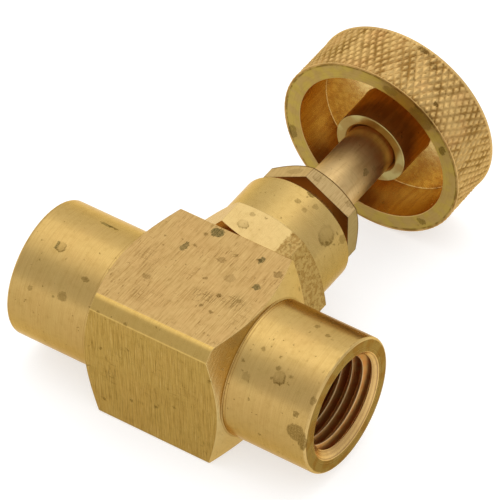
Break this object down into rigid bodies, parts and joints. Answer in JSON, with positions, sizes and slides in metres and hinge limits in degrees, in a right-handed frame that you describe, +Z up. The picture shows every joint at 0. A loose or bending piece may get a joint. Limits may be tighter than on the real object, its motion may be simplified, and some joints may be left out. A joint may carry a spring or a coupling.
{
  "type": "needle valve",
  "caption": "Small brass needle valve: square body with threaded pipe ports on turned hubs, hexagonal bonnet, gland nut, rising stem and knurled round handwheel.",
  "frame": {"origin": "middle of the body's flat base face, on the stem's axis", "axes": "+X along the flow axis to the outlet, +Y along the stem to the handwheel, +Z up as the valve lies on its side"},
  "size_m": [0.0428, 0.0551, 0.0256],
  "materials": {
    "body_brass": "machined, tarnished in spots",
    "bonnet_brass": "machined, tarnished in spots",
    "gland_brass": "machined, dull",
    "stem_brass": "turned, satin",
    "handwheel_brass": "turned and knurled, tarnished",
    "gasket": "dark pressed fibre",
    "packing": "matt white PTFE",
    "needle_steel": "fine turned",
    "spring_steel": "dark satin",
    "screw_steel": "zinc plated, satin"
  },
  "bodies": {
    "valve": {"valve_body": "body_brass", "bonnet": "bonnet_brass", "bonnet_gasket": "gasket", "gland_nut": "gland_brass", "gland_follower": "gland_brass", "packing_ring_lower": "packing", "packing_ring_middle": "packing", "packing_ring_upper": "packing", "packing_washer": "gland_brass"},
    "needle": {"needle_tip": "needle_steel"},
    "spindle": {"stem": "stem_brass", "tip_retaining_ring": "spring_steel", "handwheel": "handwheel_brass", "lock_washer": "spring_steel", "handwheel_screw": "screw_steel"}
  },
  "joints": [
    {"name": "stem_lift", "type": "slide", "parent": "valve", "child": "needle", "axis": [0, 1, 0], "range_m": [-0.00266, 0.0016]},
    {"name": "handwheel_turn", "type": "hinge", "parent": "needle", "child": "spindle", "pos_m": [0, 0.04, 0], "axis": [0, 1, 0], "range_deg": [-900, 540]}
  ],
  "couplings": [
    {"joint": "stem_lift", "follows": "handwheel_turn", "m_per_rad": 0.00016844}
  ]
}
